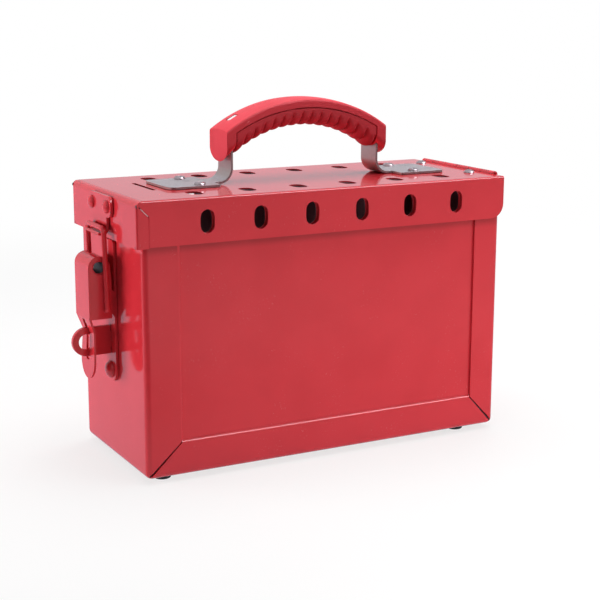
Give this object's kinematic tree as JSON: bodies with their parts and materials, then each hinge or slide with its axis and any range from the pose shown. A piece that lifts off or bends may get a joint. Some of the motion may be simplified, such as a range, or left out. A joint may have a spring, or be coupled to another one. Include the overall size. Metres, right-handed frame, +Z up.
{
  "type": "group lock box",
  "caption": "Portable red steel lock box with a slotted hinged lid for group lockout padlocks, a pull-down draw latch with a padlock eye, and a top strap handle with a moulded grip.",
  "frame": {"origin": "middle of the outline, on the floor under the rubber feet", "axes": "+X along the box from the latch to the hinge, +Y from the front to the back, +Z up"},
  "size_m": [0.2598, 0.101, 0.2057],
  "materials": {
    "red_enamel": "gloss, with small scratches and chips",
    "zinc_strap": "mottled galvanised sheet",
    "rivet_steel": "bright plated",
    "red_plastic": "finely grained",
    "black_rubber": "matte"
  },
  "bodies": {
    "box": {"body_wrap": "red_enamel", "front_panel": "red_enamel", "back_panel": "red_enamel", "foot_front_left": "black_rubber", "foot_front_right": "black_rubber", "foot_back_left": "black_rubber", "foot_back_right": "black_rubber", "hinge_leaf_body": "red_enamel", "hinge_pin": "rivet_steel", "hinge_body_rivet_front": "rivet_steel", "hinge_body_rivet_back": "rivet_steel", "latch_base": "red_enamel", "latch_rivet_low": "rivet_steel", "latch_rivet_high": "rivet_steel", "padlock_eye": "red_enamel", "lever_pin": "rivet_steel"},
    "lid": {"lid_shell": "red_enamel", "handle_strap": "zinc_strap", "grip_cover": "red_plastic", "grip_insert": "red_plastic", "handle_rivet_left_front": "rivet_steel", "handle_rivet_left_back": "rivet_steel", "handle_rivet_right_front": "rivet_steel", "handle_rivet_right_back": "rivet_steel", "hinge_leaf_lid": "red_enamel", "hinge_lid_rivet_front": "rivet_steel", "hinge_lid_rivet_back": "rivet_steel", "keeper": "red_enamel", "keeper_rivet_front": "rivet_steel", "keeper_rivet_back": "rivet_steel"},
    "lever": {"latch_lever": "red_enamel"},
    "bail": {"latch_bail": "red_enamel"}
  },
  "joints": [
    {"name": "lid_hinge", "type": "hinge", "parent": "box", "child": "lid", "pos_m": [0.12782, 0, 0.15755], "axis": [0, 1, 0], "range_deg": [0, 105]},
    {"name": "lever_swing", "type": "hinge", "parent": "box", "child": "lever", "pos_m": [-0.11672, 0, 0.1167], "axis": [0, 1, 0], "range_deg": [0, 140]},
    {"name": "bail_swing", "type": "hinge", "parent": "lever", "child": "bail", "pos_m": [-0.11303, 0, 0.0925], "axis": [0, 1, 0], "range_deg": [-105, 0]}
  ],
  "couplings": [
    {"joint": "bail_swing", "follows": "lever_swing", "ratio": -0.75}
  ]
}
